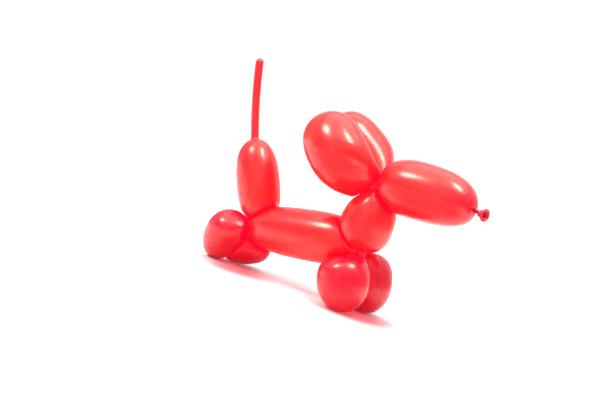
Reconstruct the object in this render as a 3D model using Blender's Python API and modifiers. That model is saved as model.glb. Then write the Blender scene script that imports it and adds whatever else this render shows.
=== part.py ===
"""A balloon dog: one long red modelling balloon, twisted into nine bubbles.

The dog looks along +X, its left side is at +Y and its feet stand on z = 0.
The twists that hold the bubbles lie on its middle plane. Lengths are in metres, angles in degrees.
"""

import math

import bmesh
import bpy
from mathutils import Vector

NAME = "balloon_poodle"

# Bubbles, each along and across its own axis
BODY_LENGTH = 0.1235
BODY_WIDTH = 0.050
NECK_LENGTH = 0.073
NECK_WIDTH = 0.0497
MUZZLE_LENGTH = 0.100
MUZZLE_WIDTH = 0.0547
TAIL_LENGTH = 0.094
TAIL_WIDTH = 0.0428
RIGHT_EAR_LENGTH = 0.0817
LEFT_EAR_LENGTH = 0.084
EAR_WIDTH = 0.0585
RIGHT_FRONT_LEG_LENGTH = 0.0578
LEFT_FRONT_LEG_LENGTH = 0.0632
FRONT_LEG_WIDTH = 0.0518
RIGHT_HIND_LEG_LENGTH = 0.0682
LEFT_HIND_LEG_LENGTH = 0.0607
HIND_LEG_WIDTH = 0.041

# Slope of each bubble's axis above +X, away from the twist that it grows from
NECK_SLOPE = 82.8
MUZZLE_SLOPE = 3.5
TAIL_SLOPE = 115.5
RIGHT_EAR_SLOPE = 142.3
LEFT_EAR_SLOPE = 144.7
RIGHT_FRONT_LEG_SLOPE = -71.1
LEFT_FRONT_LEG_SLOPE = -70.7
HIND_LEG_SLOPE = -139.3

# Turn of a pair about its own slope, and how far its two bubbles lean together toward their far ends
EAR_TURN = -5.9
EAR_CLOSING = 15.5
FRONT_LEG_TURN = 6.0
FRONT_LEG_CLOSING = -1.8
HIND_LEG_TURN = 37.2
HIND_LEG_CLOSING = 30.2

# Where each bubble begins, counted back from its twist along its axis
BODY_START = 0.0119
NECK_START = -0.0004
MUZZLE_START = -0.0168
TAIL_START = 0.0028
RIGHT_EAR_START = 0.011
LEFT_EAR_START = 0.009
RIGHT_FRONT_LEG_START = -0.001
LEFT_FRONT_LEG_START = 0.0024
RIGHT_HIND_LEG_START = -0.0014
LEFT_HIND_LEG_START = 0.0011

# Two bubbles of a pair press into each other by this depth on each side of their seam
SEAM_PRESS = 0.0050
# The front twist sits behind and under the body's end, the head twist behind and under the neck's end
FRONT_TWIST_BACK = 0.0025
FRONT_TWIST_DROP = 0.0085
HEAD_TWIST_BACK = 0.022
HEAD_TWIST_DROP = 0.0005
# A pair's bubbles slide across to their twist over their near ends: a higher power shortens the stretch
CURL_POWER = 6
# Depth to which each round leg is flattened where it stands
FOOT_FLAT_DEPTH = 0.0004

# Bluntness 2 is an ellipse, more is closer to a tube. Taper widens the far half and narrows the near one
BODY_BLUNTNESS = 3.2
BODY_TAPER = -0.03
NECK_BLUNTNESS = 2.33
NECK_TAPER = -0.17
MUZZLE_BLUNTNESS = 2.52
MUZZLE_TAPER = -0.15
TAIL_BLUNTNESS = 2.35
TAIL_TAPER = 0.07
EAR_BLUNTNESS = 2.71
EAR_TAPER = 0.0
FRONT_LEG_BLUNTNESS = 2.19
FRONT_LEG_TAPER = -0.16
HIND_LEG_BLUNTNESS = 2.12
HIND_LEG_TAPER = -0.03

# The end of the balloon that takes no air, above the tail
TIP_LENGTH = 0.084
TIP_WIDTH = 0.0084
TIP_SLOPE = 107.2
TIP_BOW = 0.0023
TIP_BLUNTNESS = 9.0
TIP_SINK = 0.0025

# The knotted mouth of the balloon, at the nose
NOZZLE_SLOPE = -5.0
NOZZLE_SINK = 0.004
NECKING_LENGTH = 0.0065
NECKING_WIDTH = 0.0042
KNOT_WIDTH = 0.0076
FLARE_LENGTH = 0.0055
LIP_WIDTH = 0.0142
LIP_LENGTH = 0.0024
MOUTH_WIDTH = 0.0056
MOUTH_DEPTH = 0.0040

# Faces around and along a bubble, and around the nozzle
BUBBLE_SIDES = 28
BUBBLE_BANDS = 18
TIP_SIDES = 14
TIP_BANDS = 14
NOZZLE_SIDES = 24

BALLOON_RED = (0.85, 0.03, 0.04, 1.0)
BALLOON_ROUGHNESS = 0.18
FULL_TURN = 2 * math.pi
MIDDLE_NORMAL = Vector((0, 1, 0))
RIGHT, LEFT = -1, 1


def clear_scene():
    for old in list(bpy.data.objects):
        bpy.data.objects.remove(old, do_unlink=True)


def new_collection(name):
    collection = bpy.data.collections.new(name)
    bpy.context.scene.collection.children.link(collection)
    return collection


def new_object(name, mesh, collection):
    made = bpy.data.objects.new(name, mesh)
    collection.objects.link(made)
    return made


def hide_from_build(guide):
    guide.hide_render = True
    guide.display_type = "WIRE"


def balloon_material():
    material = bpy.data.materials.new("red_balloon_latex")
    material.use_nodes = True
    shader = material.node_tree.nodes["Principled BSDF"]
    shader.inputs["Base Color"].default_value = BALLOON_RED
    shader.inputs["Roughness"].default_value = BALLOON_ROUGHNESS
    shader.inputs["Metallic"].default_value = 0.0
    return material


def direction(slope):
    angle = math.radians(slope)
    return Vector((math.cos(angle), 0, math.sin(angle)))


def blunted(share, bluntness):
    return math.copysign(abs(share) ** (2 / bluntness), share)


def shaped_sphere(name, place, collection, sides=BUBBLE_SIDES, bands=BUBBLE_BANDS):
    """Makes a sphere and moves each point to place(height, cos, sin) of its place on the unit sphere."""
    grid = bmesh.new()
    bmesh.ops.create_uvsphere(grid, u_segments=sides, v_segments=bands, radius=1)
    for point in grid.verts:
        point.co = place(*point.co.zxy)
    grid.normal_update()
    bmesh.ops.recalc_face_normals(grid, faces=grid.faces)
    mesh = bpy.data.meshes.new(name)
    grid.to_mesh(mesh)
    grid.free()
    mesh.shade_smooth()
    return new_object(name, mesh, collection)


class Bubble:
    """An egg-shaped bubble, by its middle, its axis and the point that its near end slides across to."""

    def __init__(self, middle, along, across, length, width, bluntness, taper, curl_to=None):
        self.middle = middle
        self.along = along
        self.across = (across - across.dot(along) * along).normalized()
        self.third = along.cross(self.across)
        self.half_length = length / 2
        self.half_width = width / 2
        self.bluntness = bluntness
        self.taper = taper
        pull = Vector() if curl_to is None else curl_to - self.near_end()
        self.curl = pull - pull.dot(along) * along

    def near_end(self):
        return self.middle - self.half_length * self.along

    def far_end(self):
        return self.middle + self.half_length * self.along

    def place(self, height, side, turn):
        reach = blunted(height, self.bluntness)
        ring = math.hypot(side, turn)
        swell = blunted(ring, self.bluntness) / ring if ring else 0
        radius = self.half_width * swell * (1 + self.taper * reach)
        curl_share = ((1 - reach) / 2) ** CURL_POWER
        return (self.middle + self.half_length * reach * self.along
                + radius * (side * self.across + turn * self.third) + curl_share * self.curl)

    def lowest(self):
        heights = []
        for band in range(1, BUBBLE_BANDS):
            polar = math.pi * band / BUBBLE_BANDS
            for step in range(BUBBLE_SIDES):
                turn = FULL_TURN * step / BUBBLE_SIDES
                ring = math.sin(polar)
                heights.append(self.place(math.cos(polar), ring * math.cos(turn), ring * math.sin(turn)).z)
        return min(heights)

    def make(self, name, collection):
        return shaped_sphere(name, self.place, collection)


def grown(twist, slope, start, length, width, bluntness, taper):
    """A single bubble that grows from a twist along the middle plane."""
    along = direction(slope)
    middle = twist + (length / 2 - start) * along
    return Bubble(middle, along, MIDDLE_NORMAL, length, width, bluntness, taper)


def paired(twist, side, slope, start, turn, closing, length, width, bluntness, taper):
    """One bubble of a folded pair: it stands off the middle plane and leans back to it."""
    down = direction(slope)
    turned = math.radians(turn)
    off = side * (math.cos(turned) * MIDDLE_NORMAL + math.sin(turned) * down.cross(MIDDLE_NORMAL))
    lean = math.radians(closing)
    along = math.cos(lean) * down - math.sin(lean) * off
    middle = twist + (length / 2 - start) * down + (width / 2 - SEAM_PRESS) * off
    return Bubble(middle, along, off, length, width, bluntness, taper, curl_to=twist)


def front_leg(twist, side):
    slope = RIGHT_FRONT_LEG_SLOPE if side == RIGHT else LEFT_FRONT_LEG_SLOPE
    start = RIGHT_FRONT_LEG_START if side == RIGHT else LEFT_FRONT_LEG_START
    length = RIGHT_FRONT_LEG_LENGTH if side == RIGHT else LEFT_FRONT_LEG_LENGTH
    return paired(twist, side, slope, start, FRONT_LEG_TURN, FRONT_LEG_CLOSING,
                  length, FRONT_LEG_WIDTH, FRONT_LEG_BLUNTNESS, FRONT_LEG_TAPER)


def hind_leg(twist, side):
    start = RIGHT_HIND_LEG_START if side == RIGHT else LEFT_HIND_LEG_START
    length = RIGHT_HIND_LEG_LENGTH if side == RIGHT else LEFT_HIND_LEG_LENGTH
    return paired(twist, side, HIND_LEG_SLOPE, start, HIND_LEG_TURN, HIND_LEG_CLOSING,
                  length, HIND_LEG_WIDTH, HIND_LEG_BLUNTNESS, HIND_LEG_TAPER)


def ear(twist, side):
    slope = RIGHT_EAR_SLOPE if side == RIGHT else LEFT_EAR_SLOPE
    start = RIGHT_EAR_START if side == RIGHT else LEFT_EAR_START
    length = RIGHT_EAR_LENGTH if side == RIGHT else LEFT_EAR_LENGTH
    return paired(twist, side, slope, start, EAR_TURN, EAR_CLOSING,
                  length, EAR_WIDTH, EAR_BLUNTNESS, EAR_TAPER)


def twist_height(leg):
    """Height of the twist above the floor when a pair of legs stands on it."""
    reach = [-leg(Vector(), side).lowest() for side in (RIGHT, LEFT)]
    return sum(reach) / len(reach) - FOOT_FLAT_DEPTH


def stood(leg, twist, side):
    """A leg from its twist, moved up or down a little so that its own foot is on the floor."""
    level = twist.copy()
    level.z -= leg(twist, side).lowest() + FOOT_FLAT_DEPTH
    return leg(level, side)


def twist_points():
    """The hind, front and head twists, with the body bridging the heights of the two pairs of legs."""
    hind = Vector((0, 0, twist_height(hind_leg)))
    front_height = twist_height(front_leg)
    reach = BODY_LENGTH - BODY_START
    rise = front_height + FRONT_TWIST_DROP - hind.z
    body_slope = math.degrees(math.asin(rise / reach))
    body_end = hind + reach * direction(body_slope)
    front = Vector((body_end.x - FRONT_TWIST_BACK, 0, front_height))
    neck_end = front + (NECK_LENGTH - NECK_START) * direction(NECK_SLOPE)
    head = neck_end - Vector((HEAD_TWIST_BACK, 0, HEAD_TWIST_DROP))
    return hind, front, head, body_slope


def dog_bubbles():
    hind, front, head, body_slope = twist_points()
    return {
        "body": grown(hind, body_slope, BODY_START, BODY_LENGTH, BODY_WIDTH,
                      BODY_BLUNTNESS, BODY_TAPER),
        "neck": grown(front, NECK_SLOPE, NECK_START, NECK_LENGTH, NECK_WIDTH,
                      NECK_BLUNTNESS, NECK_TAPER),
        "muzzle": grown(head, MUZZLE_SLOPE, MUZZLE_START, MUZZLE_LENGTH, MUZZLE_WIDTH,
                        MUZZLE_BLUNTNESS, MUZZLE_TAPER),
        "tail": grown(hind, TAIL_SLOPE, TAIL_START, TAIL_LENGTH, TAIL_WIDTH,
                      TAIL_BLUNTNESS, TAIL_TAPER),
        "right_hind_leg": stood(hind_leg, hind, RIGHT),
        "left_hind_leg": stood(hind_leg, hind, LEFT),
        "right_front_leg": stood(front_leg, front, RIGHT),
        "left_front_leg": stood(front_leg, front, LEFT),
        "right_ear": ear(head, RIGHT),
        "left_ear": ear(head, LEFT),
    }


def make_tip(base, collection):
    """The thin end above the tail, bowed a little toward the back."""
    along = direction(TIP_SLOPE)
    bow = direction(TIP_SLOPE + 90)
    foot = base - TIP_SINK * along
    half = (TIP_LENGTH + TIP_SINK) / 2

    def place(height, side, turn):
        reach = blunted(height, TIP_BLUNTNESS)
        ring = math.hypot(side, turn)
        swell = blunted(ring, TIP_BLUNTNESS) / ring if ring else 0
        return (foot + half * (1 + reach) * along + TIP_BOW * (1 - reach * reach) * bow
                + TIP_WIDTH / 2 * swell * (side * bow + turn * MIDDLE_NORMAL))

    return shaped_sphere("tip", place, collection, TIP_SIDES, TIP_BANDS)


def nozzle_profile():
    """Outer side of the nozzle as pairs of radius and height, from its lip to the end inside the nose."""
    knot = NOZZLE_SINK + NECKING_LENGTH
    lip = knot + FLARE_LENGTH
    top = lip + LIP_LENGTH
    return [
        (0, top - MOUTH_DEPTH),
        (MOUTH_WIDTH / 2, top - MOUTH_DEPTH),
        (MOUTH_WIDTH / 2, top - LIP_LENGTH / 2),
        ((MOUTH_WIDTH + LIP_WIDTH) / 4, top),
        ((LIP_WIDTH - LIP_LENGTH) / 2, top),
        (LIP_WIDTH / 2, top - LIP_LENGTH / 2),
        ((LIP_WIDTH - LIP_LENGTH) / 2, lip),
        (KNOT_WIDTH / 2, lip - FLARE_LENGTH / 2),
        (KNOT_WIDTH / 2, knot),
        (NECKING_WIDTH / 2, knot - NECKING_LENGTH / 3),
        (NECKING_WIDTH / 2, 0),
        (0, 0),
    ]


def make_nozzle(nose, collection):
    """The knotted mouth of the balloon: a turned profile standing on the end of the muzzle."""
    profile = bmesh.new()
    points = [profile.verts.new((radius, 0, height)) for radius, height in nozzle_profile()]
    for first, second in zip(points, points[1:]):
        profile.edges.new((first, second))
    mesh = bpy.data.meshes.new("nozzle")
    profile.to_mesh(mesh)
    profile.free()
    nozzle = new_object("nozzle", mesh, collection)
    along = direction(NOZZLE_SLOPE)
    nozzle.location = nose - NOZZLE_SINK * along
    nozzle.rotation_mode = "QUATERNION"
    nozzle.rotation_quaternion = along.to_track_quat("Z", "Y")
    screw = nozzle.modifiers.new("turned", "SCREW")
    screw.axis = "Z"
    screw.steps = NOZZLE_SIDES
    screw.render_steps = NOZZLE_SIDES
    screw.use_merge_vertices = True
    screw.merge_threshold = 0.00001
    screw.use_smooth_shade = True
    return nozzle


def floor_cutter(size, collection):
    """A block under the floor that leaves each foot its flat spot."""
    block = bmesh.new()
    bmesh.ops.create_cube(block, size=size)
    bmesh.ops.translate(block, verts=block.verts, vec=(0, 0, -size / 2))
    mesh = bpy.data.meshes.new("floor")
    block.to_mesh(mesh)
    block.free()
    return new_object("floor", mesh, collection)


def add_boolean(target, operand, operation):
    boolean = target.modifiers.new(operand.name, "BOOLEAN")
    boolean.operation = operation
    boolean.solver = "EXACT"
    boolean.object = operand
    hide_from_build(operand)


def centred(made, collection):
    """The finished shape as one mesh, with the middle of its box over the origin."""
    evaluated = made.evaluated_get(bpy.context.evaluated_depsgraph_get())
    mesh = bpy.data.meshes.new_from_object(evaluated)
    corners = [[point.co[axis] for point in mesh.vertices] for axis in (0, 1)]
    middle = [(min(side) + max(side)) / 2 for side in corners]
    for point in mesh.vertices:
        point.co.x -= middle[0]
        point.co.y -= middle[1]
    mesh.shade_smooth()
    finished = new_object(NAME, mesh, collection)
    hide_from_build(made)
    return finished


def build():
    clear_scene()
    parts = new_collection(NAME + "_parts")
    guides = new_collection("bubbles")
    bubbles = dog_bubbles()
    made = {name: bubble.make(name, guides) for name, bubble in bubbles.items()}
    made["tip"] = make_tip(bubbles["tail"].far_end(), guides)
    made["nozzle"] = make_nozzle(bubbles["muzzle"].far_end(), guides)
    joined = made.pop("body")
    for other in made.values():
        add_boolean(joined, other, "UNION")
    add_boolean(joined, floor_cutter(BODY_LENGTH * 8, guides), "DIFFERENCE")
    dog = centred(joined, parts)
    dog.data.materials.clear()
    dog.data.materials.append(balloon_material())


build()
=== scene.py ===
# Balloon dog: the skin, finish, light and camera of one red modelling balloon
import math

import bmesh
import bpy
import numpy as np
from mathutils import Matrix, Vector


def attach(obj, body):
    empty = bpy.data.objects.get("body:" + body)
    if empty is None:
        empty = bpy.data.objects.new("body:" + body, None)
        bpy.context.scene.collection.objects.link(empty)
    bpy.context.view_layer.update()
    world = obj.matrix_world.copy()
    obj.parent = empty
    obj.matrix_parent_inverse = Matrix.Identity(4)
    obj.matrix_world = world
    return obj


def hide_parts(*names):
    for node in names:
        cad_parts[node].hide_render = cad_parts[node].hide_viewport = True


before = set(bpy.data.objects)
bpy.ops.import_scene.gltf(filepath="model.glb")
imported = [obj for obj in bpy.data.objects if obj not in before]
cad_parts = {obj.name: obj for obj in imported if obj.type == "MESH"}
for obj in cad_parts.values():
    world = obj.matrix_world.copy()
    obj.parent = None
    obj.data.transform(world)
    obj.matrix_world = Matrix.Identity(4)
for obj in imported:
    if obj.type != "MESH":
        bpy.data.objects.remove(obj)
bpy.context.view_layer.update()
print("frame loaded:", sorted(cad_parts))

# The twists lie on the dog's middle plane: x and z in metres
twists = {"hind": (-0.0795, 0.0466), "front": (0.0280, 0.0572), "head": (0.0152, 0.1295)}

# Each bubble grows from a twist: slope above +X in degrees, sizes in metres
bubbles = {
    "body": {"twist": "hind", "slope": 9.9, "start": 0.0119, "length": 0.1235, "width": 0.0514,
             "blunt": 2.9, "taper": 0.06, "slide": (0, -0.0020, 0)},
    "neck": {"twist": "front", "slope": 82.8, "start": -0.0022, "length": 0.0655, "width": 0.0522,
             "blunt": 2.33, "taper": -0.17},
    "muzzle": {"twist": "head", "slope": 3.5, "start": -0.0168, "length": 0.1012, "width": 0.0556,
               "blunt": 2.58, "taper": -0.075, "slide": (0, -0.0004, -0.0030)},
    "tail": {"twist": "hind", "slope": 115.5, "start": 0.0028, "length": 0.094, "width": 0.0448,
             "blunt": 2.35, "taper": 0.02, "slide": (0.0006, 0, 0), "firm": -0.10},
    "rightEar": {"twist": "head", "slope": 142.6, "start": 0.0097, "length": 0.0812, "width": 0.0598,
                 "blunt": 2.60, "taper": 0.0, "side": -1, "turn": -5.9, "closing": 15.5, "lift": -0.0010,
                 "round": 0.0015},
    "leftEar": {"twist": "head", "slope": 145.1, "start": 0.0080, "length": 0.0832, "width": 0.0585,
                "blunt": 2.71, "taper": 0.0, "side": 1, "turn": -5.9, "closing": 15.5, "round": 0.0015},
    "rightFrontLeg": {"twist": "front", "slope": -70.3, "start": -0.0020, "length": 0.0572, "width": 0.0516,
                      "blunt": 2.19, "taper": -0.12, "side": -1, "turn": 6.0, "closing": -1.8,
                      "lift": -0.0001, "curlPower": 14, "thickAndShade": 0.85},
    "leftFrontLeg": {"twist": "front", "slope": -70.7, "start": 0.0024, "length": 0.0632, "width": 0.0528,
                     "blunt": 2.19, "taper": -0.07, "side": 1, "turn": 6.0, "closing": -1.8,
                     "lift": 0.0001, "curlPower": 14, "thickAndShade": 0.85},
    "rightHindLeg": {"twist": "hind", "slope": -139.3, "start": -0.0036, "length": 0.0645, "width": 0.0406,
                     "blunt": 2.06, "taper": -0.03, "side": -1, "turn": 37.2, "closing": 30.2,
                     "lift": -0.0022, "curlPower": 16, "thickAndShade": 0.85, "firm": -0.15},
    "leftHindLeg": {"twist": "hind", "slope": -139.3, "start": 0.0011, "length": 0.0600, "width": 0.0392,
                    "blunt": 2.12, "taper": -0.03, "side": 1, "turn": 37.2, "closing": 30.2,
                    "lift": 0.001, "curlPower": 14, "thickAndShade": 0.85, "firm": -0.15},
}

skin = {
    "facesAround": 112,      # round each bubble
    "facesAlong": 76,        # from one end of a bubble to the other
    "crowding": 0.5,         # how much closer the faces lie at the two ends
    "outlineSteps": 3000,    # points of the outline that the faces are laid out on
    "mergeDistance": 1e-7,
    "seamPress": 0.005,      # how deep the two bubbles of a pair press into each other
    "curlPower": 6,          # higher keeps the bend to the twist closer to it
    "slidePower": 4,         # higher keeps the slide closer to the far end
    "shortestCore": 0.3,     # least half length of a bubble's core, as a share of the bubble's
    # Where two bubbles meet is looked for between these shares of the way from core to skin
    "searchFrom": 0.2, "searchTo": 1.6, "searchSteps": 16,
    "thickAndShadeReach": 0.011,     # how far from the next bubble the painted shade and painted glow of the fold reach
    "pleatShade": 0.7,       # how dark the painted shade at the bottom of a pleat is
    "grainStretch": 4,       # how much longer than wide the stretch marks are
    "contactRound": 0.0040,  # how softly a bubble turns into the place where it meets the next
    "contactBlend": 0.0006,  # how softly two such places run together
    "floorRound": 0.0006,
}


def direction(slope):
    angle = math.radians(slope)
    return Vector((math.cos(angle), 0, math.sin(angle)))


class Bubble:  # an egg round its own axis, whose near end slides across to its twist
    def __init__(self, shape):
        down = direction(shape["slope"])
        x, z = twists[shape["twist"]]
        twist = Vector((x, 0, z + shape.get("lift", 0)))
        sideways = Vector((0, 1, 0))
        self.half = shape["length"] / 2
        self.radius = shape["width"] / 2
        self.blunt, self.taper = shape["blunt"], shape["taper"]
        middle = twist + (self.half - shape["start"]) * down
        along, pull = down, Vector()
        if "side" in shape:
            turn, lean = math.radians(shape["turn"]), math.radians(shape["closing"])
            sideways = shape["side"] * (math.cos(turn) * sideways + math.sin(turn) * down.cross(sideways))
            along = math.cos(lean) * down - math.sin(lean) * sideways
            middle += (self.radius - skin["seamPress"]) * sideways
            pull = twist - (middle - self.half * along)
        across = (sideways - sideways.dot(along) * along).normalized()
        self.middle, self.along, self.across = np.array(middle), np.array(along), np.array(across)
        self.third = np.array(along.cross(across))
        self.curl = np.array(pull - pull.dot(along) * along)
        self.curlPower = shape.get("curlPower", skin["curlPower"])
        self.corner = shape.get("round", skin["contactRound"])
        self.firm = shape.get("firm", 0.0)  # below 0, the bubble yields more than the ones it meets
        self.slide = np.array(shape.get("slide", (0, 0, 0)))  # how far the far end lies beside the axis

    def curled(self, height):
        reach = np.clip(height / self.half, -1, 1)
        near, far = ((1 - reach) / 2) ** self.curlPower, ((1 + reach) / 2) ** skin["slidePower"]
        return near[:, None] * self.curl + far[:, None] * self.slide

    def world(self, local):
        return (self.middle + local[:, :1] * self.across + local[:, 1:2] * self.third
                + local[:, 2:3] * self.along + self.curled(local[:, 2]))

    def gauge(self, points):  # 1 on the bubble's skin, less inside it
        off = points - self.middle
        height = off @ self.along
        off = off - self.curled(height)
        reach = height / self.half
        ring = np.hypot(off @ self.across, off @ self.third)
        share = ring / (self.radius * (1 + self.taper * np.clip(reach, -1, 1)))
        return (np.abs(reach) ** self.blunt + share ** self.blunt) ** (1 / self.blunt)

    def core(self, height):  # the point of the bubble's own axis that its skin is pushed towards
        room = max(self.half - self.radius, skin["shortestCore"] * self.half)
        inner = np.clip(height, -room, room)
        return self.middle + inner[:, None] * self.along + self.curled(height)

    def outline(self):  # radius and height from the near end to the far end
        angle = np.linspace(0, math.pi, skin["outlineSteps"])
        reach = -np.sign(np.cos(angle)) * np.abs(np.cos(angle)) ** (2 / self.blunt)
        ring = np.abs(np.sin(angle)) ** (2 / self.blunt)
        return np.stack([self.radius * ring * (1 + self.taper * reach), self.half * reach], 1)


made = {name: Bubble(shape) for name, shape in bubbles.items()}


# The end of the balloon that took no air, above the tail. Heights count from the tail's far end
tip = {"slope": 105.6, "bow": 0.0017, "length": 0.084, "width": 0.0084, "waist": 0.97, "begins": 0.0005,
       "endPoints": 9, "fillet": 0.0012, "faces": 56, "thickAndShade": 0.15, "thickAndShadeReach": 0.006}


def tipLine():
    radius, straight = tip["width"] / 2, tip["length"] - tip["width"] / 2
    end = [(radius * math.cos(turn), straight + radius * math.sin(turn))
           for turn in np.linspace(0, math.pi / 2, tip["endPoints"])]
    return [(radius, tip["begins"]), (radius * tip["waist"], straight / 2)] + end


# The knotted mouth of the balloon, at the nose. Heights count from the muzzle's far end
nozzle = {
    "slope": -4.0, "yaw": -17.3, "drop": 0.0012, "length": 0.0138, "fillet": 0.0004, "faces": 60,
    "neck": 0.0021, "knot": 0.0040, "lip": 0.0067, "roll": 0.0013, "mouth": 0.0028, "mouthDepth": 0.0045,
    "rollFrom": -75, "rollTo": 170, "rollPoints": 14,
    "thickAndShade": 1.45, "thickAndShadeReach": 0.023,
    "neckShade": 0.5, "neckReach": 0.005,  # painted shade makes the neck at the nozzle's base darker still
}


def nozzleLine():
    neck, knot, lip, roll = (nozzle[key] for key in ("neck", "knot", "lip", "roll"))
    top = nozzle["length"]
    first, last = math.radians(nozzle["rollFrom"]), math.radians(nozzle["rollTo"])
    turns = np.linspace(first, last, nozzle["rollPoints"])
    rolled = [(lip - roll + roll * math.cos(turn), top - roll + roll * math.sin(turn)) for turn in turns]
    inside = [(nozzle["mouth"], top - 0.5 * nozzle["mouthDepth"]),
              (0.8 * nozzle["mouth"], top - nozzle["mouthDepth"]), (0, top - nozzle["mouthDepth"])]
    sleeve = [(neck, -0.0015), (0.95 * neck, 0.0035), (neck, 0.0052), (0.92 * knot, 0.0064), (knot, 0.0076),
              (0.88 * knot, 0.0091), (1.25 * knot, top - 2.2 * roll)]
    return sleeve + rolled + inside


stalks = {"tail": (tip, tipLine), "muzzle": (nozzle, nozzleLine)}

# Where a stalk leaves its bubble
junction = {
    "step": 0.0001,      # between the points in which the corner is rounded
    "shoulder": 0.002,   # how far before the bubble's far end the stalk counts as begun
    "softFrom": 0.004,   # how far before the shoulder the rounding may start
    "bendFrom": 0.002,   # how far before the far end the stalk starts to bend to its own line
    "bendOver": 0.006,
}


def softened(line, amount, start, step):  # rounds the corners of an evenly spaced line near its place start
    size = int(4 * amount / step)
    weights = np.exp(-0.5 * (np.arange(-size, size + 1) * step / amount) ** 2)
    weights /= weights.sum()
    padded = np.pad(line, ((size, size), (0, 0)), mode="edge")
    smooth = np.stack([np.convolve(padded[:, axis], weights, mode="valid") for axis in (0, 1)], 1)
    share = np.clip((np.arange(len(line)) - start + size) / size, 0, 1)[:, None]
    return line + share * (smooth - line)


def evenly(line, count, crowd=0.0):  # the same line with evenly spaced points, crowded a little to its ends
    travelled = np.concatenate([[0], np.cumsum(np.hypot(*np.diff(line, axis=0).T))])
    share = np.linspace(0, 1, count + 1)
    share = share - crowd * np.sin(2 * math.pi * share) / (2 * math.pi)
    wanted = share * travelled[-1]
    return np.stack([np.interp(wanted, travelled, line[:, 0]), np.interp(wanted, travelled, line[:, 1])], 1)


def stalked(own, stalk, stalkLine):  # the bubble's outline with the stalk's drawn on from its far end
    egg = own.outline()
    first = np.argmax((egg[:, 1] > 0) & (egg[:, 0] < stalkLine[0][0]))
    drawn = np.concatenate([egg[:first], np.array(stalkLine) + (0, own.half)])
    step = junction["step"]
    steps = np.hypot(*np.diff(drawn, axis=0).T).sum() / step
    fine = evenly(drawn, int(steps))
    corner = np.argmax(fine[:, 1] > own.half - junction["shoulder"])
    start = corner - int(junction["softFrom"] / step)
    return softened(fine, stalk["fillet"], start, step), fine[corner, 1]


def ontoStalk(own, stalk, local, points):  # bends what lies past the bubble's far end to the stalk's own line
    past = local[:, 2] - own.half
    base = own.middle + own.half * own.along + own.slide - (0, 0, stalk.get("drop", 0.0))
    yaw, flat = math.radians(stalk.get("yaw", 0.0)), direction(stalk["slope"])
    along = np.array((flat.x * math.cos(yaw), flat.x * math.sin(yaw), flat.z))
    bowed = np.array(direction(stalk["slope"] + 90))
    travel = np.clip(past / stalk["length"], 0, 1)
    across = own.across - (own.across @ along) * along
    third = np.cross(along, across)
    bow = stalk.get("bow", 0.0) * 4 * travel * (1 - travel)
    line = base + past[:, None] * along + bow[:, None] * bowed
    moved = line + local[:, :1] * across + local[:, 1:2] * third
    share = np.clip((past + junction["bendFrom"]) / junction["bendOver"], 0, 1)
    share = (share * share * (3 - 2 * share))[:, None]
    return points + share * (moved - points)


def spun(name, line, steps):  # a closed skin of revolution round Z, from radius and height pairs
    grid = bmesh.new()
    points = [grid.verts.new((radius, 0, height)) for radius, height in line]
    edges = [grid.edges.new(pair) for pair in zip(points, points[1:])]
    bmesh.ops.spin(grid, geom=points + edges, cent=(0, 0, 0), axis=(0, 0, 1), dvec=(0, 0, 0),
                   angle=2 * math.pi, steps=steps, use_merge=True, use_normal_flip=False, use_duplicate=False)
    bmesh.ops.remove_doubles(grid, verts=grid.verts, dist=skin["mergeDistance"])
    grid.normal_update()
    bmesh.ops.recalc_face_normals(grid, faces=grid.faces)
    mesh = bpy.data.meshes.new(name)
    grid.to_mesh(mesh)
    grid.free()
    return mesh


def readPoints(mesh):
    points = np.empty(len(mesh.vertices) * 3, np.float32)
    mesh.vertices.foreach_get("co", points)
    return points.reshape(-1, 3).astype(float)


def writePoints(mesh, points):
    mesh.vertices.foreach_set("co", points.astype(np.float32).ravel())
    mesh.update()


def keepOn(mesh, name, values):  # keeps a value or a direction at each point, for the material
    kind, field = ("FLOAT", "value") if values.ndim == 1 else ("FLOAT_VECTOR", "vector")
    mesh.attributes.new(name, kind, "POINT").data.foreach_set(field, values.astype(np.float32).ravel())


def smoothPiece(name, mesh):
    piece = bpy.data.objects.new(name, mesh)
    bpy.context.scene.collection.objects.link(piece)
    mesh.shade_smooth()
    return piece


def pressed(own, others, points, heights):  # pushes points out of the other bubbles, with soft corners
    core = own.core(heights)
    ray = points - core
    reach = np.linalg.norm(ray, axis=1)
    depths = []
    for other in others:
        low, high = np.full(len(points), skin["searchFrom"]), np.full(len(points), skin["searchTo"])
        for _ in range(skin["searchSteps"]):
            share = (low + high) / 2
            tried = core + share[:, None] * ray
            inside = other.gauge(tried) - other.firm < own.gauge(tried) - own.firm
            high = np.where(inside, share, high)
            low = np.where(inside, low, share)
        depths.append((1 - (low + high) / 2) * reach)
    depths = np.array(depths)
    blend, corner = skin["contactBlend"], own.corner
    top = depths.max(0)
    deepest = top + blend * np.log(np.exp((depths - top) / blend).sum(0))
    rounded = np.clip(deepest + corner, 0, None) ** 2 / (4 * corner)
    push = np.where(deepest > corner, deepest, rounded)
    return points - (push / reach)[:, None] * ray, deepest


def onFloor(points):
    z = points[:, 2]
    points[:, 2] = (z + np.sqrt(z ** 2 + skin["floorRound"] ** 2)) / 2
    return points


pleats = {
    "count": 13,          # round each twisted end
    "depth": 0.00055,
    "reach": 0.0060,      # how far from the twist they fade
    "root": 0.0015,       # how close to the axis they vanish
    "swirl": 60.0,        # turn along the bubble, radians a metre
    "sway": 0.6,          # how much their spacing varies
    "mean": 0.65, "unevenness": 0.35,  # their depth round the end
    "shift": 0.01,        # the wider the bubble against this, the more that depth is turned
    "sharpness": 0.6,     # below 1, the valleys are sharper than the ridges
    "level": 0.7,         # where the plain skin lies between the valleys at 0 and the ridges at 1
    "darkness": 2.2,      # of the painted shade in the valleys
    "dimple": 0.0008,     # how far the skin dips to its twist
    "dimpleWidth": 0.0050,
}


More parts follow.
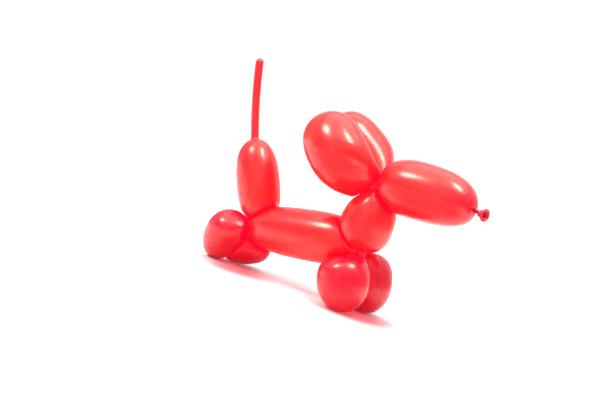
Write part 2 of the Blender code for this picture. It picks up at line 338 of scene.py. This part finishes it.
def pleated(own, local, points, ends):
    core = own.core(local[:, 2])
    ray = points - core
    ray /= np.linalg.norm(ray, axis=1)[:, None]
    ring = np.hypot(local[:, 0], local[:, 1])
    turn = np.arctan2(local[:, 1], local[:, 0])
    valleyShade = np.zeros(len(points))
    for end in ends:
        away = np.hypot(ring, local[:, 2] - end * own.half)
        fade = np.exp(-away / pleats["reach"]) * ring / (ring + pleats["root"])
        twisted = turn + end * pleats["swirl"] * away
        phase = 3 * turn + 5 * own.radius / pleats["shift"] + end
        uneven = pleats["mean"] + pleats["unevenness"] * np.sin(phase)
        swayed = pleats["count"] / 2 * twisted + pleats["sway"] * np.sin(2 * turn)
        wave = np.abs(np.cos(swayed)) ** pleats["sharpness"] - pleats["level"]
        lift = pleats["depth"] * fade * uneven * wave * 2
        # painted shade in the pleat valleys
        valleyShade += fade * np.clip(-pleats["darkness"] * wave, 0, 1)
        dip = -end * pleats["dimple"] * np.exp(-(away / pleats["dimpleWidth"]) ** 2)
        points = points + lift[:, None] * ray + dip[:, None] * own.along
    return points, valleyShade


def makeBubble(name):
    own = made[name]
    line = evenly(own.outline(), skin["facesAlong"], skin["crowding"])
    shoulder = own.half
    stalk, stalkLine = stalks.get(name, (None, None))
    if stalk:
        drawn, shoulder = stalked(own, stalk, stalkLine())
        cut = np.argmax(drawn[:, 1] > shoulder)
        line = np.concatenate([evenly(drawn[:cut + 1], skin["facesAlong"], skin["crowding"])[:-1],
                               evenly(drawn[cut:], stalk["faces"])])
    line[[0, -1], 0] = 0
    mesh = spun(name, line, skin["facesAround"])
    local = readPoints(mesh)
    ends = (-1, 1) if name in ("body", "neck", "muzzle") else (-1,)
    points, valleyShade = pleated(own, local, own.world(local), ends)
    others = [other for key, other in made.items() if key != name]
    free = local[:, 2] <= shoulder
    depth = np.full(len(points), -1.0)
    points[free], depth[free] = pressed(own, others, points[free], local[free, 2])
    if stalk:
        points = ontoStalk(own, stalk, local, points)
    writePoints(mesh, onFloor(points))
    # Darker crimson for thick latex in the feet and at the stalks, and painted shade in the fold where the
    # next bubble meets this one; the fold also gets a painted glow
    crevice = np.clip(1 + depth / skin["thickAndShadeReach"], 0, 1) ** 2
    thickAndShade = np.maximum(bubbles[name].get("thickAndShade", 0.0), crevice)
    if stalk:
        thickAndShade[~free] = stalk["thickAndShade"]
        away = np.hypot(np.hypot(local[:, 0], local[:, 1]), local[:, 2] - shoulder)
        thickAndShade = np.where(free, np.maximum(thickAndShade, np.exp(-(away / stalk["thickAndShadeReach"]) ** 2)), thickAndShade)
    # painted shade at the nozzle's base, where it leaves the muzzle
    if stalk and "neckShade" in stalk:
        extra = stalk["neckShade"] * np.exp(-(away / stalk["neckReach"]) ** 2)
        thickAndShade = np.where(free, thickAndShade, thickAndShade + extra)
    # painted shade in the pleat valleys
    thickAndShade += skin["pleatShade"] * valleyShade
    turn = np.arctan2(local[:, 1], local[:, 0])
    keepOn(mesh, "thickAndShade", thickAndShade)
    keepOn(mesh, "crevice", crevice)
    grainHeight = local[:, 2] / own.radius / skin["grainStretch"]
    keepOn(mesh, "grain", np.stack([np.cos(turn), np.sin(turn), grainHeight], 1))
    return smoothPiece(name, mesh)


# The latex that is wound tight at a twist, between the bubbles that meet there
knots = {
    "hindTwist": {"middle": (-0.086, 0.0440), "size": 0.0135, "slope": 20},
    "frontTwist": {"middle": (0.029, 0.0572), "size": 0.0112, "slope": 80},
    "headTwist": {"middle": (0.028, 0.126), "size": 0.0120, "slope": 95},
}
knot = {"faces": 64, "ridges": 9, "ridgeDepth": 0.035, "swirl": 1.7, "sway": 0.4, "grain": 0.5}


def makeKnot(name):
    grid = bmesh.new()
    bmesh.ops.create_uvsphere(grid, u_segments=2 * knot["faces"], v_segments=knot["faces"], radius=1)
    mesh = bpy.data.meshes.new(name)
    grid.to_mesh(mesh)
    grid.free()
    ball = readPoints(mesh)
    turn, rise = np.arctan2(ball[:, 1], ball[:, 0]), ball[:, 2]
    wound = np.cos(knot["ridges"] * (turn + knot["swirl"] * rise))
    ridge = wound + knot["sway"] * np.cos(3 * turn - 4 * rise)
    ball *= (1 + knot["ridgeDepth"] * ridge * np.sqrt(1 - np.clip(rise, -1, 1) ** 2))[:, None]
    along = np.array(direction(knots[name]["slope"]))
    side = np.array((0.0, 1.0, 0.0))
    turned = np.stack([np.cross(side, along), side, along])
    x, z = knots[name]["middle"]
    writePoints(mesh, knots[name]["size"] * ball @ turned + (x, 0, z))
    # Wound latex is thick and deep crimson; the whole knot also gets the painted glow of the folds
    keepOn(mesh, "thickAndShade", np.ones(len(ball)))
    keepOn(mesh, "crevice", np.ones(len(ball)))
    keepOn(mesh, "grain", knot["grain"] * ball)
    return smoothPiece(name, mesh)


pieces = [makeBubble(name) for name in bubbles] + [makeKnot(name) for name in knots]
print("bubbles and twists made:", len(pieces))


class Wire:  # an output of a node, which takes part in sums
    def __init__(self, tree, socket=None):
        self.tree, self.socket = tree, socket

    def node(self, kind, settings=None, inputs=None, output=0):
        fresh = self.tree.nodes.new("ShaderNode" + kind)
        for key, value in (settings or {}).items():
            setattr(fresh, key, value)
        for key, value in (inputs or {}).items():
            if isinstance(value, Wire):
                self.tree.links.new(value.socket, fresh.inputs[key])
            else:
                fresh.inputs[key].default_value = value
        return Wire(self.tree, fresh.outputs[output])

    def sum(self, operation, first, second):
        return self.node("Math", {"operation": operation}, {0: first, 1: second})

    def __add__(self, other):
        return self.sum("ADD", self, other)

    def __sub__(self, other):
        return self.sum("SUBTRACT", self, other)

    def __rsub__(self, other):
        return self.sum("SUBTRACT", other, self)

    def __mul__(self, other):
        return self.sum("MULTIPLY", self, other)

    __radd__, __rmul__ = __add__, __mul__

    def limited(self):
        return self.node("Clamp", inputs={"Value": self})

    def least(self, other):
        return self.sum("MINIMUM", self, other)

    def place(self):  # in metres
        return self.node("TexCoord", output=3)

    def kept(self, name, output):  # what keepOn has kept: output 2 is a value and 1 a direction
        return self.node("Attribute", {"attribute_name": name}, output=output)

    def noise(self, scale, detail, roughness=0.5):
        return self.node("TexNoise", inputs={"Vector": self, "Scale": scale, "Detail": detail,
                                             "Roughness": roughness})

    def distance(self, point):
        return self.node("VectorMath", {"operation": "DISTANCE"}, {0: self, 1: point}, 1)

    def ramp(self, low, high):  # 0 at low and 1 at high, with soft ends
        return self.node("MapRange", {"interpolation_type": "SMOOTHSTEP"},
                         {"Value": self, "From Min": low, "From Max": high})

    def blend(self, first, second):  # the first color at 0 and the second at 1
        return self.node("Mix", {"data_type": "RGBA"}, {0: self, 6: first, 7: second}, 2)


def newMaterial(name):
    material = bpy.data.materials.new(name)
    material.use_nodes = True
    return material, material.node_tree.nodes["Principled BSDF"], Wire(material.node_tree)


def setInputs(wire, shader, wired, fixed):
    for name, value in wired.items():
        wire.tree.links.new(value.socket, shader.inputs[name])
    for name, value in fixed.items():
        shader.inputs[name].default_value = value


black = (0, 0, 0, 1)
latex = {
    "taut": (0.930, 0.0075, 0.0115, 1),
    "thickAndShadeColor": (0.520, 0.0018, 0.020, 1),   # deeper crimson where the latex is thick, at the twists and in the feet; it is also the painted shade of the folds and pleat valleys
    "leastSlack": 0.06,
    "cloud": 22.0, "cloudDepth": 0.25,         # slow changes of thickness
    "streaks": 5.0, "streakDepth": 0.16,       # stretch marks that run along a bubble
    "streakRoughness": 0.06, "streakHeight": 0.3,  # the height is a share of waveHeight
    "thickColor": (0.480, 0.0012, 0.0280, 1),  # the mouth of the balloon, which took no air; the deepest painted shade of folds and pleats also reaches it
    "glow": (0.42, 0.001, 0.014, 1),           # a painted glow in the folds between bubbles, standing in for light that comes through the skin
    "coat": 0.25,
    "roughness": 0.27, "powder": 0.07,         # a trace of talc
    "powderScale": 900.0,
    "wave": 45.0, "waveHeight": 0.00012,
    "grainScale": 2600.0, "grainHeight": 0.000006,
    "fixed": {"Emission Strength": 1.0, "IOR": 1.42, "Specular Tint": (1.0, 0.95, 0.82, 1),
              "Coat Roughness": 0.1, "Subsurface Weight": 0.2, "Subsurface Radius": (1.0, 0.12, 0.12),
              "Subsurface Scale": 0.004},
}


def makeLatex():
    material, shader, wire = newMaterial("redBalloonLatex")
    place = wire.place()
    thickAndShade, crevice = wire.kept("thickAndShade", 2), wire.kept("crevice", 2)
    cloud = place.noise(latex["cloud"], 3) - 0.5
    streaks = wire.kept("grain", 1).noise(latex["streaks"], 5, 0.6)
    powder = place.noise(latex["powderScale"], 2) - 0.5
    uneven = thickAndShade + cloud * latex["cloudDepth"] + (streaks - 0.5) * latex["streakDepth"]
    # deeper crimson for thick latex and for painted shade in folds and pleats
    blown = (uneven + latex["leastSlack"]).limited().blend(latex["taut"], latex["thickAndShadeColor"])
    color = (thickAndShade - 1.0).limited().blend(blown, latex["thickColor"])
    rough = latex["roughness"] + powder * latex["powder"] + (streaks - 0.5) * latex["streakRoughness"]
    wave, fine = place.noise(latex["wave"], 1), place.noise(latex["grainScale"], 2)
    streakHeight = streaks * (latex["streakHeight"] * latex["waveHeight"])
    height = wave * latex["waveHeight"] + fine * latex["grainHeight"] + streakHeight
    bump = wire.node("Bump", inputs={"Height": height, "Strength": 1.0, "Distance": 1.0})
    # Emission in the folds is a painted glow for light that comes through the skin
    wired = {"Base Color": color, "Emission Color": crevice.blend(black, latex["glow"]), "Roughness": rough,
             "Coat Weight": latex["coat"] * (1 - crevice), "Normal": bump}
    setInputs(wire, shader, wired, latex["fixed"])
    return material


redLatex = makeLatex()
for piece in pieces:
    piece.data.materials.append(redLatex)
    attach(piece, "root")
    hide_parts("balloon_poodle")
print("latex made")


# Studio: a white table with painted pink shadows, a wide light overhead, two smaller ones and dim cards that
# only the latex sees, which paint dark reflections into it
studio = {
    "tableSize": 6.0,
    "tableColor": (0.78, 0.79, 0.84, 1), "farColor": (0.97, 0.97, 0.97, 1),  # near the dog painted darker and bluer, where the warm lamps fall strongest, and further off painted lighter, where they reach less
    "farReach": (0.3, 1.2),
    "tableFixed": {"Emission Strength": 1.0, "Roughness": 0.8, "Specular IOR Level": 0.15},
    "room": 1.05,
    "warm": (1.0, 0.95, 0.84),
    "lights": {
        "overheadLight": {"toLight": (0, 0, 1), "distance": 1.7, "size": (2.6, 2.6), "glow": 2.1,
                          "color": (1.0, 0.94, 0.80)},
        "leftLight": {"toLight": (-0.455, -0.54, 0.71), "distance": 1.7, "size": (0.52, 0.52), "glow": 33},
        "rightLight": {"toLight": (0.30, -0.13, 0.945), "distance": 1.7, "size": (0.75, 0.44), "glow": 31,
                       "longTo": (0.85, -0.53, 0.0)},
    },
    "paintedPinkShadows": {  # painted pink shadows on the table, with a painted glow, for the light that the feet let through
        "middles": ((0.056, -0.012, 0), (-0.082, -0.024, 0)), "reach": (0.010, 0.055),
        "paint": (0.50, 0.12, 0.14, 1), "glow": (0.60, 0.06, 0.09, 1),
    },
    "dimCards": {
        "dimCamera": {"place": (0.42, -0.84, 0.05), "facing": (-0.45, 0.89, 0.0),
                      "width": 0.52, "core": 0.35, "glow": 0.03},
        "dimRight": {"place": (0.84, -0.47, 0.12), "facing": (-0.87, 0.49, 0.0),
                     "width": 0.85, "core": 0.45, "glow": 0.08},
        "dimLeft": {"place": (-0.66, -0.92, -0.10), "facing": (0.58, 0.81, 0.0),
                    "width": 0.95, "core": 0.38, "glow": 0.22},
        "dimFarRight": {"place": (1.00, 0.46, 0.10), "facing": (-0.91, -0.41, 0.0),
                        "width": 0.95, "core": 0.50, "glow": 0.40},
        "dimFarLeft": {"place": (-1.00, 0.40, 0.10), "facing": (0.93, -0.37, 0.0),
                       "width": 0.75, "core": 0.40, "glow": 0.40},
        "dimFloor": {"place": (0.13, -0.22, 0.006), "facing": (0, 0, 1),
                     "width": 0.25, "core": 0.50, "glow": 0.10},
        "dimFront": {"place": (0.02, -0.67, 0.004), "facing": (0, 0, 1),
                     "width": 0.62, "core": 0.68, "glow": 0.38},
    },
    "cardRim": 0.98,  # where a card has faded out, as a share of its width
    "aim": (0, 0, 0.10),
}


def flatGrid(name, size, place, facing):  # a square sheet that faces a point
    mesh = bpy.data.meshes.new(name)
    grid = bmesh.new()
    bmesh.ops.create_grid(grid, x_segments=1, y_segments=1, size=size / 2)
    turn = Vector(facing).to_track_quat("Z", "Y").to_matrix().to_4x4()
    bmesh.ops.transform(grid, matrix=Matrix.Translation(place) @ turn, verts=grid.verts)
    grid.to_mesh(mesh)
    grid.free()
    sheet = bpy.data.objects.new(name, mesh)
    bpy.context.scene.collection.objects.link(sheet)
    return sheet


def makeTable():
    table = flatGrid("table", 2 * studio["tableSize"], (0, 0, 0), (0, 0, 1))
    material, shader, wire = newMaterial("whitePaper")
    place, spots = wire.place(), studio["paintedPinkShadows"]
    far = place.distance((0, 0, 0)).ramp(*studio["farReach"])
    off = [place.distance(middle) for middle in spots["middles"]]
    near, edge = spots["reach"]
    # Painted pink shadow and painted glow round the feet
    red = off[0].least(off[1]).ramp(edge, near)
    paint = red.blend(far.blend(studio["tableColor"], studio["farColor"]), spots["paint"])
    wired = {"Base Color": paint, "Emission Color": red.blend(black, spots["glow"])}
    setInputs(wire, shader, wired, studio["tableFixed"])
    table.data.materials.append(material)


def placed(thing, right, up, back, spot):  # its own X, Y and Z then point right, up and back
    thing.matrix_world = Matrix((
        (right.x, up.x, back.x, spot.x),
        (right.y, up.y, back.y, spot.y),
        (right.z, up.z, back.z, spot.z),
        (0, 0, 0, 1)))


def makeLight(name, light):
    lamp = bpy.data.lights.new(name, "AREA")
    lamp.shape = "ELLIPSE"
    lamp.size, lamp.size_y = light["size"]
    lamp.energy = light["glow"] * math.pi * (math.pi / 4 * lamp.size * lamp.size_y)
    lamp.color = light.get("color", studio["warm"])
    toLight = Vector(light["toLight"]).normalized()
    long = Vector(light.get("longTo", (1, 0, 0)))
    long = (long - long.dot(toLight) * toLight).normalized()
    holder = bpy.data.objects.new(name, lamp)
    bpy.context.scene.collection.objects.link(holder)
    placed(holder, long, toLight.cross(long), toLight, Vector(studio["aim"]) + light["distance"] * toLight)
    holder.visible_camera = False


def makeDimCard(name, card):  # a painted dark reflection: seen in the latex only, and fading out towards its rim
    sheet = flatGrid(name, 2 * card["width"], card["place"], card["facing"])
    material = bpy.data.materials.new(name)
    material.use_nodes = True
    material.node_tree.nodes.clear()
    wire = Wire(material.node_tree)
    away = wire.place().distance(card["place"])
    fade = away.ramp(card["core"] * card["width"], studio["cardRim"] * card["width"])
    dark = wire.node("Emission", inputs={"Color": (1, 1, 1, 1), "Strength": card["glow"]})
    clear = wire.node("BsdfTransparent")
    mixed = wire.node("MixShader", inputs={0: fade, 1: dark, 2: clear})
    output = wire.tree.nodes.new("ShaderNodeOutputMaterial")
    wire.tree.links.new(mixed.socket, output.inputs[0])
    sheet.data.materials.append(material)
    sheet.visible_camera = sheet.visible_diffuse = sheet.visible_shadow = False


scene = bpy.context.scene
scene.view_settings.view_transform = "Standard"
world = bpy.data.worlds.new("studio")
scene.world = world
world.use_nodes = True
world.node_tree.nodes["Background"].inputs["Color"].default_value = (1, 1, 1, 1)
world.node_tree.nodes["Background"].inputs["Strength"].default_value = studio["room"]
makeTable()
for name, light in studio["lights"].items():
    makeLight(name, light)
for name, card in studio["dimCards"].items():
    makeDimCard(name, card)
print("studio made")


# Camera: the viewing angle, of those tried, that matched the photograph best
view = {"azimuth": 28.0, "elevation": 5.0, "roll": 17.4, "distance": 1.1985, "focal": 1198.5,
        "target": (-0.0393, 0, 0.0853), "imageWidth": 612, "sensor": 36, "clip": (0.05, 50)}


def makeCamera():
    data = bpy.data.cameras.new("camera")
    data.sensor_width = view["sensor"]
    data.lens = view["focal"] / view["imageWidth"] * view["sensor"]
    data.clip_start, data.clip_end = view["clip"]
    camera = bpy.data.objects.new("camera", data)
    scene.collection.objects.link(camera)
    turn, rise, roll = (math.radians(view[key]) for key in ("azimuth", "elevation", "roll"))
    back = Vector((math.sin(turn) * math.cos(rise), -math.cos(turn) * math.cos(rise), math.sin(rise)))
    level = Vector((math.cos(turn), math.sin(turn), 0))
    up = back.cross(level)
    right = math.cos(roll) * level + math.sin(roll) * up
    top = math.cos(roll) * up - math.sin(roll) * level
    placed(camera, right, top, back, Vector(view["target"]) + view["distance"] * back)
    scene.camera = camera


makeCamera()
print("camera set")
